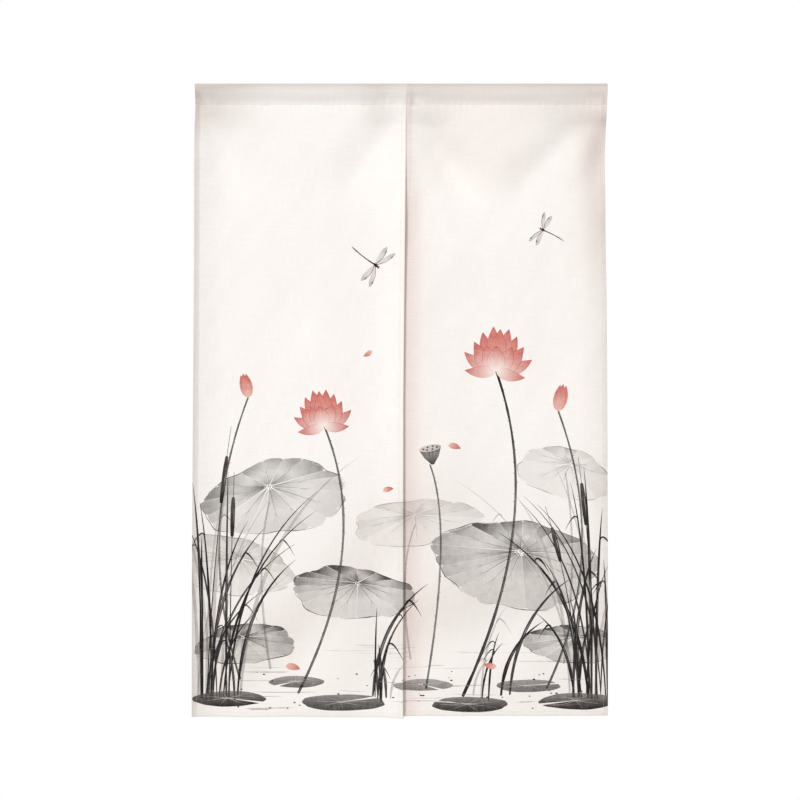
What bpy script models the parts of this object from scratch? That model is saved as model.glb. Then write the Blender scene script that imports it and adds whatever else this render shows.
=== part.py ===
"""Noren: a doorway curtain of two cloth panels side by side, each hung by its own rod pocket.

Metres, +Z up. The front faces -Y and +X is the viewer's right. The origin is the middle of the
top edge, where a rod carries the cloth. Each panel hangs straight down under the middle of its
pocket, and its folds are soft ridges and troughs along short curved routes. The left panel's
inner edge hangs in front of the right one's. Each panel and each pocket is one closed solid.
"""
import math
from typing import NamedTuple

import bmesh
import bpy
import numpy as np

# Driving sizes of the whole curtain
CLOTH = 0.0015            # thickness of the solid sheet
DROP = 1.300              # top edge to hem
PIECE_GAP = 0.0005        # air left where two solids meet
SLIT_GAP = 0.0006         # air between the two pockets' ends

# Rod pocket: a turned-over heading, sewn shut along its lower edge
POCKET_DROP = 0.045       # top edge to the foot of the seam
ROD_ROOM = 0.018          # inside width over the rod
SEAM_THICK = 0.0032       # doubled cloth at the seam
SEAM_BAND = 0.0035        # height of the doubled, stitched strip
SEAM_SLACK = 0.0006       # inside width at the foot of the hollow
WALL_LEAN = math.radians(15.0)
ARC_STEPS = 10            # even, so that the pocket's crown lies on the top edge
POCKET_STEPS = 14

# Grid of a panel: even columns, and rows that stand closer where the drag folds are
PANEL_COLUMNS = 26
FOLD_ZONE = 0.380         # depth below the top edge that the drag folds reach
FOLD_ROWS = 21
PLAIN_ROWS = 18

# How the cloth leaves the straight seam and grows into its folds
SEAM_HOLD = 0.045         # depth over which the seam still keeps the cloth flat
ROLL_START = 0.040        # depth below the seam where the side edges begin to roll
ROLL_GROWTH = 0.220       # further depth over which they reach their full roll
SWAY_GROWTH = 0.500       # depth over which the slow waves reach their full height
ROUTE_LEGS = 24

# Side edges, as the distance below the top edge and the x there, and how far the right panel's
# inner edge lies behind the left one's
LEFT_OUTER = ((0.000, -0.4218), (0.450, -0.4236), (0.950, -0.4270), (1.300, -0.4279))
LEFT_INNER = ((0.000, 0.0132), (0.060, 0.0112), (0.150, 0.0104), (0.320, 0.0087), (0.650, 0.0055),
              (1.300, 0.0047))
RIGHT_OUTER = ((0.000, 0.4240), (0.135, 0.4222), (0.450, 0.4240), (1.060, 0.4263), (1.300, 0.4263))
OVERLAP = ((0.000, -SLIT_GAP), (0.190, -SLIT_GAP), (0.290, 0.0040), (0.600, 0.0060), (1.300, 0.0060))

# Hem heights, as the share of the way from the outer to the inner edge and the drop there
LEFT_HEM = ((0.00, DROP - 0.0025), (0.25, DROP), (1.00, DROP))
RIGHT_HEM = ((0.00, DROP - 0.0020), (0.60, DROP - 0.0028), (1.00, DROP - 0.0020))


class Fold(NamedTuple):
    """One soft fold: its route's three points as x and z, then its half widths at the two ends,
    then its heights towards the front at the start, middle and end."""
    name: str
    start: tuple
    middle: tuple
    end: tuple
    widths: tuple
    heights: tuple


class Roll(NamedTuple):
    """How far a side edge leans to the front, and how wide a strip leans with it."""
    forward: float
    width: float


class Sway(NamedTuple):
    """A slow wave across the hanging cloth."""
    length_x: float
    length_z: float
    height: float
    phase: float


LEFT_FOLDS = (
    Fold("drag from slit", (-0.012, -0.064), (-0.086, -0.168), (-0.152, -0.270),
         (0.028, 0.052), (-0.004, -0.0085, 0.000)),
    Fold("ridge by slit", (-0.010, -0.130), (-0.020, -0.240), (-0.036, -0.460),
         (0.020, 0.036), (0.000, 0.0030, 0.000)),
    Fold("ridge at corner", (-0.426, -0.060), (-0.430, -0.135), (-0.434, -0.300),
         (0.032, 0.050), (0.005, 0.0130, 0.000)),
    Fold("drag from corner", (-0.400, -0.075), (-0.365, -0.150), (-0.295, -0.275),
         (0.026, 0.044), (-0.004, -0.0060, 0.000)),
    Fold("soft valley", (-0.240, -0.380), (-0.215, -0.470), (-0.190, -0.600),
         (0.032, 0.044), (-0.002, -0.0050, 0.000)),
)
RIGHT_FOLDS = (
    Fold("deep drag from corner", (0.437, -0.052), (0.421, -0.142), (0.404, -0.270),
         (0.026, 0.042), (-0.010, -0.0235, 0.000)),
    Fold("edge turned back", (0.452, -0.120), (0.444, -0.270), (0.438, -0.500),
         (0.040, 0.085), (-0.002, -0.0190, 0.000)),
    Fold("drag from heading", (0.392, -0.070), (0.288, -0.164), (0.184, -0.262),
         (0.028, 0.050), (-0.005, -0.0095, -0.003)),
    Fold("hollow under drags", (0.392, -0.140), (0.318, -0.225), (0.250, -0.340),
         (0.046, 0.070), (-0.003, -0.0075, 0.000)),
    Fold("drag from slit", (0.038, -0.060), (0.100, -0.160), (0.168, -0.290),
         (0.028, 0.052), (-0.006, -0.0230, -0.002)),
    Fold("hollow by slit", (0.026, -0.085), (0.036, -0.220), (0.050, -0.460),
         (0.026, 0.040), (-0.002, -0.0045, 0.000)),
    Fold("ridge under drags", (0.112, -0.270), (0.122, -0.360), (0.136, -0.480),
         (0.034, 0.044), (0.001, 0.0040, 0.000)),
)
LEFT_SWAYS = (Sway(0.300, 2.10, 0.0022, 0.6), Sway(0.190, 3.40, 0.0010, 2.1))
RIGHT_SWAYS = (Sway(0.330, 1.80, 0.0020, 2.9), Sway(0.170, 2.90, 0.0011, 0.4))

# Dents in a pocket's front wall, as the x of the middle, the half width and the depth
LEFT_DENTS = ((-0.415, 0.022, 0.0016), (-0.180, 0.060, -0.0008), (-0.036, 0.020, 0.0018))
RIGHT_DENTS = ((0.030, 0.022, 0.0018), (0.215, 0.070, -0.0009), (0.405, 0.024, 0.0016))


class Panel(NamedTuple):
    """One panel of the pair: its edges, hem, rolls, folds, waves and pocket dents."""
    side: str
    outer: tuple
    inner: tuple
    hem: tuple
    outer_roll: Roll
    inner_roll: Roll
    folds: tuple
    sways: tuple
    dents: tuple


def right_inner_edge():
    """The right panel's inner edge: the left panel's, moved behind it by the overlap."""
    depths = sorted({row[0] for row in LEFT_INNER + OVERLAP})
    left = np.interp(depths, *zip(*LEFT_INNER))
    overlap = np.interp(depths, *zip(*OVERLAP))
    return tuple(zip(depths, left - overlap))


PANELS = (
    Panel("left", LEFT_OUTER, LEFT_INNER, LEFT_HEM, Roll(0.0135, 0.066), Roll(0.0215, 0.066),
          LEFT_FOLDS, LEFT_SWAYS, LEFT_DENTS),
    Panel("right", RIGHT_OUTER, right_inner_edge(), RIGHT_HEM, Roll(-0.0100, 0.055), Roll(0.0125, 0.044),
          RIGHT_FOLDS, RIGHT_SWAYS, RIGHT_DENTS),
)

CLOTH_COLOUR = (0.90, 0.87, 0.83, 1.0)
POCKET_COLOUR = (0.84, 0.81, 0.77, 1.0)


def clear_scene():
    """Removes what the file opened with."""
    for thing in list(bpy.data.objects):
        bpy.data.objects.remove(thing, do_unlink=True)


def smooth_step(value):
    """Eases from 0 to 1 with level ends, and stays there outside them."""
    held = np.clip(value, 0.0, 1.0)
    return held * held * (3.0 - 2.0 * held)


def fold_height(fold, x, z):
    """Height of one fold over the points x, z: a bell across its route, which changes along it."""
    start, bend, end = (np.array(point) for point in (fold.start, fold.middle, fold.end))
    control = 2.0 * bend - 0.5 * (start + end)
    t = np.linspace(0.0, 1.0, ROUTE_LEGS + 1)[:, None]
    route = (1.0 - t) ** 2 * start + 2.0 * t * (1.0 - t) * control + t ** 2 * end
    legs = route[1:] - route[:-1]
    reach = np.stack((x, z), axis=-1)[..., None, :] - route[:-1]
    share = np.clip((reach * legs).sum(-1) / (legs * legs).sum(-1), 0.0, 1.0)
    distance = np.linalg.norm(reach - share[..., None] * legs, axis=-1)
    nearest = distance.argmin(axis=-1)
    along = (nearest + np.take_along_axis(share, nearest[..., None], -1)[..., 0]) / ROUTE_LEGS
    width = np.interp(along, (0.0, 1.0), fold.widths)
    first, middle, last = fold.heights
    height = np.where(along < 0.5, first + (middle - first) * smooth_step(2.0 * along),
                      middle + (last - middle) * smooth_step(2.0 * along - 1.0))
    return height * np.exp(-(distance.min(axis=-1) / width) ** 2)


def cloth_forward(panel, x, z, to_outer, to_inner):
    """How far the hanging cloth stands to the front of the straight plane under its pocket."""
    below = -z - POCKET_DROP
    folds = sum(fold_height(fold, x, z) for fold in panel.folds)
    rolls = np.zeros_like(x)
    for roll, distance in ((panel.outer_roll, to_outer), (panel.inner_roll, to_inner)):
        rolls += roll.forward * np.clip(1.0 - distance / roll.width, 0.0, 1.0) ** 2
    waves = np.zeros_like(x)
    for sway in panel.sways:
        waves += sway.height * np.sin(math.tau * (x / sway.length_x + z / sway.length_z) + sway.phase)
    grown = rolls * smooth_step((below - ROLL_START) / ROLL_GROWTH)
    grown += waves * smooth_step(below / SWAY_GROWTH)
    return folds * smooth_step(below / SEAM_HOLD) + grown


def panel_points(panel):
    """Middle surface of a panel as a grid of points, its rows running down from the seam."""
    fold_rows = np.linspace(0.0, FOLD_ZONE, FOLD_ROWS, endpoint=False)
    plain_rows = np.linspace(FOLD_ZONE, DROP - POCKET_DROP, PLAIN_ROWS + 1)
    down = np.concatenate((fold_rows, plain_rows)) / (DROP - POCKET_DROP)
    across = np.linspace(0.0, 1.0, PANEL_COLUMNS + 1)
    share, depth_share = np.meshgrid(across, down)
    top = POCKET_DROP + PIECE_GAP
    hem = np.interp(share, *zip(*panel.hem))
    z = -(top + depth_share * (hem - top))
    outer = np.interp(-z, *zip(*panel.outer))
    inner = np.interp(-z, *zip(*panel.inner))
    x = outer + share * (inner - outer)
    y = -cloth_forward(panel, x, z, np.abs(x - outer), np.abs(inner - x))
    return np.stack((x, y, z), axis=-1)


def new_material(name, colour):
    """Plain woven cloth: pale, matt and not metallic."""
    material = bpy.data.materials.new(name)
    material.use_nodes = True
    shader = material.node_tree.nodes["Principled BSDF"]
    shader.inputs["Base Color"].default_value = colour
    shader.inputs["Roughness"].default_value = 0.9
    shader.inputs["Metallic"].default_value = 0.0
    return material


def new_object(name, mesh, colour):
    """Puts a mesh into the scene under its own name, smooth shaded, with its own material."""
    thing = bpy.data.objects.new(name, mesh)
    bpy.context.scene.collection.objects.link(thing)
    mesh.shade_smooth()
    mesh.materials.append(new_material(name + "_cloth", colour))
    return thing


def build_panel(panel):
    """One hanging panel: a folded sheet, thickened evenly to both sides."""
    grid = panel_points(panel)
    if panel.side == "right":
        grid = grid[:, ::-1]
    rows, columns = grid.shape[:2]
    form = bmesh.new()
    verts = [[form.verts.new(point) for point in row] for row in grid]
    for row in range(rows - 1):
        for column in range(columns - 1):
            form.faces.new((verts[row][column], verts[row + 1][column],
                            verts[row + 1][column + 1], verts[row][column + 1]))
    mesh = bpy.data.meshes.new("panel_" + panel.side)
    form.to_mesh(mesh)
    form.free()
    sheet = new_object("panel_" + panel.side, mesh, CLOTH_COLOUR)
    thicken = sheet.modifiers.new("cloth thickness", "SOLIDIFY")
    thicken.thickness = CLOTH
    thicken.offset = 0.0
    thicken.use_even_offset = True
    return sheet


def pocket_loop(inside, dent):
    """Section of the pocket's wall as y and z: front foot, front wall, over the rod, back wall
    and back foot. The inside loop runs one cloth thickness in from the outside one."""
    outer_radius = ROD_ROOM / 2 + CLOTH
    radius = outer_radius - CLOTH if inside else outer_radius
    foot_y = SEAM_SLACK / 2 if inside else SEAM_THICK / 2
    foot_z = SEAM_BAND - POCKET_DROP if inside else -POCKET_DROP
    angles = np.linspace(-WALL_LEAN, math.pi + WALL_LEAN, ARC_STEPS + 1)
    arc = np.stack((-radius * np.cos(angles), radius * np.sin(angles) - outer_radius), axis=-1)
    front_foot = np.array((-foot_y, foot_z))
    back_foot = np.array((foot_y, foot_z))
    front_wall = (front_foot + arc[0]) / 2 + (dent, 0.0)
    back_wall = (back_foot + arc[-1]) / 2
    return np.vstack((front_foot, front_wall, arc, back_wall, back_foot))


def build_pocket(panel):
    """One rod pocket: an open-ended tube of cloth, round over the rod and flat at its seam."""
    ends = (panel.outer[0][1], panel.inner[0][1])
    stations = np.linspace(min(ends), max(ends), POCKET_STEPS + 1)
    form = bmesh.new()
    outside, inside = [], []
    for x in stations:
        dent = sum(depth * math.exp(-((x - middle) / width) ** 2) for middle, width, depth in panel.dents)
        for is_inside, loops in ((False, outside), (True, inside)):
            loops.append([form.verts.new((x, y, z)) for y, z in pocket_loop(is_inside, dent)])
    count = len(outside[0])
    for step in range(POCKET_STEPS):
        for point in range(count):
            after = (point + 1) % count
            form.faces.new((outside[step][point], outside[step + 1][point],
                            outside[step + 1][after], outside[step][after]))
            form.faces.new((inside[step][point], inside[step][after],
                            inside[step + 1][after], inside[step + 1][point]))
    for point in range(count):
        after = (point + 1) % count
        form.faces.new((outside[0][point], outside[0][after], inside[0][after], inside[0][point]))
        form.faces.new((outside[-1][point], inside[-1][point], inside[-1][after], outside[-1][after]))
    bmesh.ops.recalc_face_normals(form, faces=form.faces)
    mesh = bpy.data.meshes.new("pocket_" + panel.side)
    form.to_mesh(mesh)
    form.free()
    pocket = new_object("pocket_" + panel.side, mesh, POCKET_COLOUR)
    mesh.set_sharp_from_angle(angle=math.radians(40.0))
    return pocket


clear_scene()
for panel in PANELS:
    build_panel(panel)
    build_pocket(panel)
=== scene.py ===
import math
from typing import NamedTuple

import bpy
import numpy as np
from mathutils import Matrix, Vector
from mathutils.geometry import delaunay_2d_cdt


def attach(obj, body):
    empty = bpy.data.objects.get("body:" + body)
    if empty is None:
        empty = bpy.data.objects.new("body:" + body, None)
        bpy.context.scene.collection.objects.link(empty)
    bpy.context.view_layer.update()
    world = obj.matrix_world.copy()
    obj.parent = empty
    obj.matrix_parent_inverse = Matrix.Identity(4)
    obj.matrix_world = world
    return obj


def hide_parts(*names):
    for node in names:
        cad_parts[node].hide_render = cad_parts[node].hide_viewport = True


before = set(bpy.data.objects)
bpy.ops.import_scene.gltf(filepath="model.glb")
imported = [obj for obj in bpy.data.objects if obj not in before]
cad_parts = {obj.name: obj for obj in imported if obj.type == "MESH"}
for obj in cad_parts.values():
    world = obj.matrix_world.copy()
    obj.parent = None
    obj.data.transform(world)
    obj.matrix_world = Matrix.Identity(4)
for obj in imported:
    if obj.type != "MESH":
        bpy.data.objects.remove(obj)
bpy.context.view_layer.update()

# How the two cloths hang.
# Each is one length of plain-woven linen-like cloth. Its top is turned over the rod to the back
# and stitched down, and below the seam it hangs in soft drags from the ends of the heading.
cloth_thick = 0.0009
seam_down = 0.043          # top edge to the stitched line under the heading
seam_foot = 0.045          # top edge to where the plain hanging cloth starts
crown_radius = 0.0105      # outside of the cloth over the rod
crown_square = 2.9         # 2 for a round crown, more for a squarer one
tail_length = 0.007        # turned-over end that shows below the seam on the back
tail_back = 0.0013         # how far the tail's middle lies behind the cloth's
hem_back = 0.0020          # how much further back it lies where both have turned side hems
drop = 1.300
seam_hold = 0.045          # length below the seam over which the folds grow
roll_start = 0.040         # depth below the seam where the side edges start to roll
roll_growth = 0.220
sway_growth = 0.500

left_outer = ((0.000, -0.4218), (0.450, -0.4236), (0.950, -0.4270), (1.300, -0.4279))
left_inner = ((0.000, 0.0132), (0.060, 0.0112), (0.150, 0.0104), (0.320, 0.0087), (0.650, 0.0055),
              (1.300, 0.0047))
right_outer = ((0.000, 0.4240), (0.135, 0.4222), (0.450, 0.4240), (1.060, 0.4263), (1.300, 0.4263))
overlap = ((0.000, -0.0002), (0.050, -0.0002), (0.090, -0.0005), (0.190, -0.0005), (0.290, 0.0040),
           (0.600, 0.0060), (1.300, 0.0060))
overlap_depths = sorted({row[0] for row in left_inner + overlap})
right_inner = tuple(zip(overlap_depths, np.interp(overlap_depths, *zip(*left_inner))
                        - np.interp(overlap_depths, *zip(*overlap))))
left_hem = ((0.00, drop - 0.0025), (0.25, drop), (1.00, drop))
right_hem = ((0.00, drop - 0.0020), (0.60, drop - 0.0028), (1.00, drop - 0.0020))


class Fold(NamedTuple):
    """A soft fold: three points of its route as x and z, its half widths at the two ends, and its
    heights towards the front at the start, middle and end."""
    name: str
    start: tuple
    middle: tuple
    end: tuple
    widths: tuple
    heights: tuple


class Roll(NamedTuple):
    """How far a side edge leans to the front, and how wide a strip leans with it."""
    forward: float
    width: float


class Sway(NamedTuple):
    """A slow wave across the hanging cloth."""
    length_x: float
    length_z: float
    height: float
    phase: float


class Pinch(NamedTuple):
    """A small dent in the front of the heading: its middle, half widths and depth, and how much
    painted shade lies in it."""
    x: float
    z: float
    half_x: float
    half_z: float
    depth: float
    tone: float = 0.0


class Panel(NamedTuple):
    """One cloth of the pair: its edges, hem, rolls, folds, waves and the dents in its heading."""
    side: str
    outer: tuple
    inner: tuple
    hem: tuple
    outer_roll: Roll
    inner_roll: Roll
    folds: tuple
    sways: tuple
    pinches: tuple


left_folds = (
    Fold("drag from slit", (-0.012, -0.064), (-0.086, -0.168), (-0.152, -0.270),
         (0.028, 0.052), (-0.004, -0.0085, 0.000)),
    Fold("ridge by slit", (-0.010, -0.130), (-0.020, -0.240), (-0.036, -0.460),
         (0.020, 0.036), (0.000, 0.0030, 0.000)),
    Fold("ridge at corner", (-0.426, -0.060), (-0.430, -0.135), (-0.434, -0.300),
         (0.032, 0.050), (0.005, 0.0130, 0.000)),
    Fold("drag from corner", (-0.400, -0.075), (-0.365, -0.150), (-0.295, -0.275),
         (0.026, 0.044), (-0.004, -0.0060, 0.000)),
    Fold("soft valley", (-0.240, -0.380), (-0.215, -0.470), (-0.190, -0.600),
         (0.032, 0.044), (-0.002, -0.0050, 0.000)),
)
right_folds = (
    Fold("deep drag from corner", (0.437, -0.052), (0.421, -0.142), (0.404, -0.270),
         (0.026, 0.042), (-0.010, -0.0235, 0.000)),
    Fold("edge turned back", (0.452, -0.120), (0.444, -0.270), (0.438, -0.500),
         (0.040, 0.085), (-0.002, -0.0190, 0.000)),
    Fold("drag from heading", (0.392, -0.070), (0.288, -0.164), (0.184, -0.262),
         (0.028, 0.050), (-0.005, -0.0095, -0.003)),
    Fold("hollow under drags", (0.392, -0.140), (0.318, -0.225), (0.250, -0.340),
         (0.046, 0.070), (-0.003, -0.0075, 0.000)),
    Fold("drag from slit", (0.038, -0.060), (0.100, -0.160), (0.168, -0.290),
         (0.028, 0.052), (-0.006, -0.0230, -0.002)),
    Fold("hollow by slit", (0.026, -0.085), (0.036, -0.220), (0.050, -0.460),
         (0.026, 0.040), (-0.002, -0.0045, 0.000)),
    Fold("ridge under drags", (0.112, -0.270), (0.122, -0.360), (0.136, -0.480),
         (0.034, 0.044), (0.001, 0.0040, 0.000)),
)
left_sways = (Sway(0.300, 2.10, 0.0022, 0.6), Sway(0.190, 3.40, 0.0010, 2.1))
right_sways = (Sway(0.330, 1.80, 0.0020, 2.9), Sway(0.170, 2.90, 0.0011, 0.4))
left_pinches = (
    Pinch(-0.4150, -0.028, 0.0220, 0.0120, 0.0016), Pinch(-0.1800, -0.028, 0.0600, 0.0120, -0.0008),
    Pinch(-0.0340, -0.030, 0.0080, 0.0120, 0.0014, 0.24),
    Pinch(-0.4110, -0.034, 0.0060, 0.0100, 0.0012, 0.55),
)
right_pinches = (
    Pinch(0.0300, -0.028, 0.0220, 0.0120, 0.0016), Pinch(0.2150, -0.028, 0.0700, 0.0120, -0.0009),
    Pinch(0.4050, -0.028, 0.0240, 0.0120, 0.0014), Pinch(0.0240, -0.035, 0.0065, 0.0095, 0.0012, 0.55),
    Pinch(0.4170, -0.034, 0.0070, 0.0110, 0.0012, 0.52),
)
panels = (
    Panel("left", left_outer, left_inner, left_hem, Roll(0.0135, 0.066), Roll(0.0215, 0.066),
          left_folds, left_sways, left_pinches),
    Panel("right", right_outer, right_inner, right_hem, Roll(-0.0100, 0.055), Roll(0.0125, 0.044),
          right_folds, right_sways, right_pinches),
)


def ease(value):
    """Rises from 0 to 1 with level ends, and stays there outside them."""
    held = np.clip(value, 0.0, 1.0)
    return held * held * (3.0 - 2.0 * held)


def bow(start, middle, end, count):
    """Points of a smooth line through three points."""
    start, middle, end = (np.array(point, dtype=float) for point in (start, middle, end))
    control = 2.0 * middle - 0.5 * (start + end)
    t = np.linspace(0.0, 1.0, count + 1)[:, None]
    return (1.0 - t) ** 2 * start + 2.0 * t * (1.0 - t) * control + t ** 2 * end


route_legs = 24            # straight legs that stand for a fold's curved route


def fold_height(fold, x, z):
    """Height of one fold at points x, z: a bell across its route, which changes along it."""
    route = bow(fold.start, fold.middle, fold.end, route_legs)
    legs = route[1:] - route[:-1]
    reach = np.stack((x, z), axis=-1)[..., None, :] - route[:-1]
    share = np.clip((reach * legs).sum(-1) / (legs * legs).sum(-1), 0.0, 1.0)
    distance = np.linalg.norm(reach - share[..., None] * legs, axis=-1)
    nearest = distance.argmin(axis=-1)
    along = (nearest + np.take_along_axis(share, nearest[..., None], -1)[..., 0]) / route_legs
    width = np.interp(along, (0.0, 1.0), fold.widths)
    first, middle, last = fold.heights
    height = np.where(along < 0.5, first + (middle - first) * ease(2.0 * along),
                      middle + (last - middle) * ease(2.0 * along - 1.0))
    return height * np.exp(-(distance.min(axis=-1) / width) ** 2)


def side_edges(panel, depth):
    """Places of the outer and the inner edge of a panel at a depth below the top."""
    return [np.interp(depth, *zip(*edge)) for edge in (panel.outer, panel.inner)]


def side_distances(panel, x, depth):
    """Distances to the outer and the inner edge of a panel at points x, at a depth below the top."""
    return tuple(np.abs(x - edge) for edge in side_edges(panel, depth))


def hem_drop(panel, x):
    """Depth of the hem's lower edge at x."""
    outer, inner = panel.outer[-1][1], panel.inner[-1][1]
    return np.interp((x - outer) / (inner - outer), *zip(*panel.hem))


crumple_random = np.random.default_rng(11)
crumples = [(length, crumple_random.uniform(-0.5, 0.5), crumple_random.uniform(0.0, math.tau), height)
            for length, height in ((0.150, 0.00045), (0.110, 0.00035), (0.083, 0.00028), (0.061, 0.00020),
                                   (0.047, 0.00014), (0.036, 0.00010))]


def fine_unevenness(x, z):
    """The small waves that cloth keeps however well it is pressed."""
    height = np.zeros_like(x)
    for length, slant, phase, size in crumples:
        wave = np.sin(math.tau * (x + slant * z) / length + phase)
        height += size * wave * np.cos(2.1 * z / length + phase)
    return height


gather_pitch = 0.0165
gather_height = 0.00040
gather_reach = 0.011       # how far a gather runs out from the seam


def seam_gather(x, distance):
    """The small gathers that the heading's thread draws in, at a distance from its line."""
    wave = np.sin(math.tau * x / gather_pitch + 2.0 * np.sin(x / 0.021))
    return gather_height * wave * np.exp(-(distance / gather_reach) ** 2)


pucker_pitch = 0.0190
pucker_height = 0.00026
pucker_middle = 0.0095     # from the side edge, at the line of thread
pucker_reach = 0.0060


def side_puckers(z, to_outer, to_inner):
    """The small waves that the side hems' thread draws in."""
    waves = np.zeros_like(z)
    for distance, phase in ((to_outer, 0.4), (to_inner, 1.7)):
        wave = np.sin(math.tau * z / pucker_pitch + 1.8 * np.sin(z / 0.031 + phase) + phase)
        waves += pucker_height * wave * np.exp(-((distance - pucker_middle) / pucker_reach) ** 2)
    return waves


def cloth_forward(panel, x, z):
    """How far the hanging cloth stands to the front of the straight plane under its heading."""
    below = -z - seam_foot
    to_outer, to_inner = side_distances(panel, x, -z)
    folds = sum(fold_height(fold, x, z) for fold in panel.folds)
    rolls = np.zeros_like(x)
    for roll, distance in ((panel.outer_roll, to_outer), (panel.inner_roll, to_inner)):
        rolls += roll.forward * np.clip(1.0 - distance / roll.width, 0.0, 1.0) ** 2
    waves = np.zeros_like(x)
    for sway in panel.sways:
        waves += sway.height * np.sin(math.tau * (x / sway.length_x + z / sway.length_z) + sway.phase)
    grown = rolls * ease((below - roll_start) / roll_growth) + waves * ease(below / sway_growth)
    fine = fine_unevenness(x, z) * ease(below / 0.080) + seam_gather(x, z + seam_down)
    fine += side_puckers(z, to_outer, to_inner) * ease(below / 0.030)
    return folds * ease(below / seam_hold) + grown + fine


# Section of the heading: up the front, over the rod and down the back, as y and z along the cloth
middle_radius = crown_radius - cloth_thick / 2
crown_z = -crown_radius
crown_angles = np.linspace(0.0, math.pi, 160)
crown_arc = np.stack((-np.cos(crown_angles), np.sin(crown_angles)), axis=1)
crown_arc = (0.0, crown_z) + middle_radius * np.sign(crown_arc) * np.abs(crown_arc) ** (2.0 / crown_square)
wall_rise = np.linspace(0.0, 1.0, 13)[:-1]
wall_bow = 0.45 * wall_rise + 0.55 * ease(wall_rise)   # upright at the seam, then out to the rod
wall = np.stack((-middle_radius * wall_bow, -seam_down + (seam_down + crown_z) * wall_rise), axis=1)
heading_route = np.vstack((wall, crown_arc, (tail_back, -seam_down)))
heading_lengths = np.concatenate(((0.0,), np.cumsum(np.linalg.norm(np.diff(heading_route, axis=0), axis=1))))
front_wall = heading_lengths[len(wall)]
heading_length = heading_lengths[-1]
hem_step_end = 0.0140      # from the side edge, where the cloth lies on no hem any more
hem_step = 0.0040
foot_lean = 0.012          # length of the heading's back that leans out over the side hems


def hang(panel, x, down):
    """Place of the middle of the cloth that lies `down` along it. Down counts from the top edge's
    height, so it equals the depth below the seam, and above it follows the turned-over heading."""
    up = seam_down - down
    on_heading = (up > 0.0) & (up <= heading_length)
    on_tail = up > heading_length
    depth = np.where(on_tail, seam_down + up - heading_length, down)
    to_side = np.min(side_distances(panel, x, np.full_like(x, seam_down)), axis=0)
    over_hem = hem_back * ease((hem_step_end - to_side) / hem_step)
    y = -cloth_forward(panel, x, -depth) + np.where(on_tail, tail_back + over_hem, 0.0)
    heading_y = np.interp(up, heading_lengths, heading_route[:, 0])
    heading_z = np.interp(up, heading_lengths, heading_route[:, 1])
    wall_share = np.clip(up / front_wall, 0.0, 1.0)
    for pinch in panel.pinches:
        bell = np.exp(-((x - pinch.x) / pinch.half_x) ** 2 - ((heading_z - pinch.z) / pinch.half_z) ** 2)
        heading_y = heading_y + pinch.depth * bell * np.sin(math.pi * wall_share) * (up < front_wall)
    heading_y = heading_y - seam_gather(x, up) - seam_gather(x, heading_length - up)
    heading_y = heading_y + over_hem * ease(1.0 - (heading_length - up) / foot_lean)
    y = np.where(on_heading, heading_y, y)
    z = np.where(on_heading, heading_z, -depth)
    return np.stack((x, y, z), axis=-1)


# The sewn edges.
# Side and bottom edges are turned twice to the back and run down with one line of thread, and the
# heading is closed by another. The thread sinks into the cloth and the layers behind it show.
side_hem = 0.0110
bottom_hem = 0.0105
thread_in = 0.0016         # thread line to the hem's inner edge
hem_fade = 0.0006          # width over which a hem's layers end
hem_layers = 0.0011        # extra cloth behind a hem
hem_swell = 0.00018        # how much a hem stands out on the outside
groove = 0.00030
groove_half = 0.0009
edge_round = 0.0004        # how far a face draws back at a turned edge
edge_reach = 0.0012
probe = 0.00025            # step over which the cloth's slope is measured


def edge_distances(panel, x, down):
    """Distances to the outer edge, the inner edge and the hem's lower edge."""
    depth = np.abs(np.where(down > seam_down, down, 0.5 * seam_down))
    return *side_distances(panel, x, depth), hem_drop(panel, x) - down


def hem_shares(panel, x, down):
    """1 on the outer, inner and lower turned edge in turn, and 0 on single cloth."""
    distances = edge_distances(panel, x, down)
    return [ease((width - distance) / hem_fade + 0.5)
            for distance, width in zip(distances, (side_hem, side_hem, bottom_hem))]


def thread_groove(panel, x, down):
    """How deep the cloth is drawn in beside the lines of thread."""
    to_outer, to_inner, to_foot = edge_distances(panel, x, down)
    from_lines = (to_outer - side_hem + thread_in, to_inner - side_hem + thread_in,
                  to_foot - bottom_hem + thread_in, down - seam_down, down - seam_down + heading_length)
    return groove * sum(np.exp(-(distance / groove_half) ** 2) for distance in from_lines)


def edge_rounding(panel, x, down):
    """How far each face draws back at a turned edge, so that the edge is round."""
    return edge_round * sum(np.clip(1.0 - distance / edge_reach, 0.0, 1.0) ** 2
                            for distance in edge_distances(panel, x, down))


def face_lift(panel, x, down, sign):
    """Height of one face of the cloth over its middle: sign is 1 outside and -1 inside."""
    layers = hem_swell if sign > 0 else hem_layers
    return (cloth_thick / 2 + layers * np.max(hem_shares(panel, x, down), axis=0)
            - thread_groove(panel, x, down) - edge_rounding(panel, x, down))


def cloth_frame(panel, x, down):
    """Middle of the cloth with its directions across, down and out to the front."""
    middle = hang(panel, x, down)
    across = hang(panel, x + probe, down) - hang(panel, x - probe, down)
    along = hang(panel, x, down + probe) - hang(panel, x, down - probe)
    across /= np.linalg.norm(across, axis=-1, keepdims=True)
    along /= np.linalg.norm(along, axis=-1, keepdims=True)
    out = np.cross(along, across)
    out /= np.linalg.norm(out, axis=-1, keepdims=True)
    return middle, across, along, out


def cloth_face(panel, x, down, hung, sign):
    """Points and normals of one face of the hung cloth."""
    middle, across, along, out = hung
    height = face_lift(panel, x, down, sign)
    slopes = [(face_lift(panel, x + aside, down + below, sign)
               - face_lift(panel, x - aside, down - below, sign)) / (2 * probe)
              for aside, below in ((probe, 0.0), (0.0, probe))]
    points = middle + sign * height[:, None] * out
    normals = sign * out - slopes[0][:, None] * across - slopes[1][:, None] * along
    normals /= np.linalg.norm(normals, axis=-1, keepdims=True)
    return points, normals


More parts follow.
